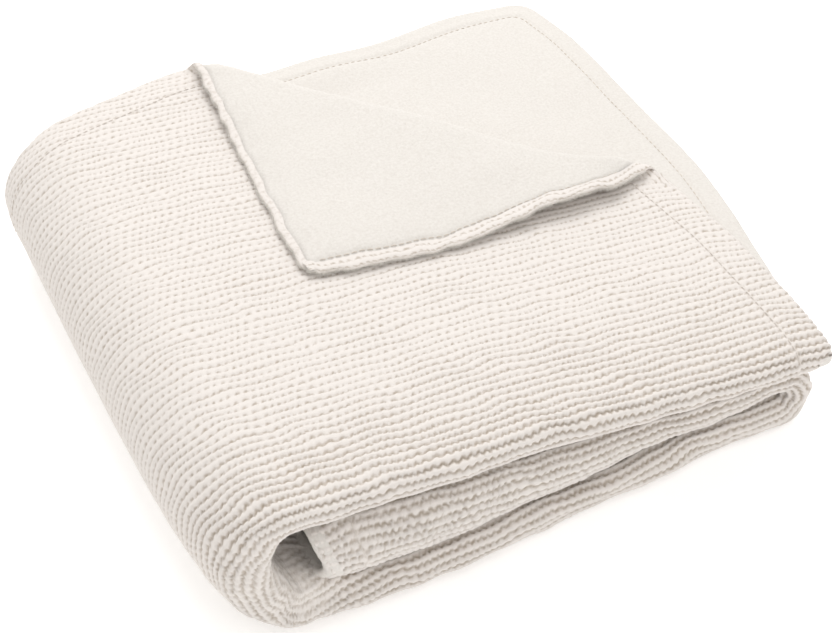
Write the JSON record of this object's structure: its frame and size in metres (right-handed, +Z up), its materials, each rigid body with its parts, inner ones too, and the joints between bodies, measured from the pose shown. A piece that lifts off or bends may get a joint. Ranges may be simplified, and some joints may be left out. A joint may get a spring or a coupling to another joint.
{
  "type": "folded throw blanket",
  "caption": "A soft knitted throw with a fleece lining, halved and folded in three, one top corner turned back to show the lining.",
  "frame": {"origin": "centre of the bounding box on the surface the throw lies on", "axes": "+X to the right along the front fold, +Y from the front fold to the open hems at the back, +Z up"},
  "size_m": [0.3724, 0.3664, 0.0814],
  "materials": {
    "knit": "matte",
    "fleece": "matte",
    "thread": "matte"
  },
  "bodies": {
    "stack": {"bottom_knit": "knit", "bottom_lining": "fleece", "bottom_stitch": "thread", "right_fold_knit": "knit", "right_fold_lining": "fleece", "inner_knit": "knit", "inner_lining": "fleece", "inner_stitch": "thread"},
    "left_fold": {"left_fold_knit": "knit", "left_fold_lining": "fleece", "left_fold_stitch": "thread"},
    "top_leaf": {"top_knit": "knit", "top_lining": "fleece", "top_side_stitch": "thread", "top_back_stitch": "thread", "lower_ply_stitch": "thread"},
    "corner_flap": {"flap_knit": "knit", "flap_lining": "fleece", "flap_edge_roll": "knit", "flap_stitch": "thread"}
  },
  "joints": [
    {"name": "left_fold_roll", "type": "hinge", "parent": "stack", "child": "left_fold", "pos_m": [-0.17709, 0, 0.00871], "axis": [0, -1, 0], "range_deg": [0, 88.5]},
    {"name": "top_leaf_turn", "type": "hinge", "parent": "left_fold", "child": "top_leaf", "pos_m": [-0.17709, 0, 0.07229], "axis": [0, -1, 0], "range_deg": [0, 88.5]},
    {"name": "corner_turn", "type": "hinge", "parent": "top_leaf", "child": "corner_flap", "pos_m": [-0.0398, 0.1712, 0.07282], "axis": [-0.6942, 0.7177, 0.0546], "range_deg": [0, 178]}
  ],
  "couplings": [
    {"joint": "top_leaf_turn", "follows": "left_fold_roll", "ratio": 1}
  ]
}
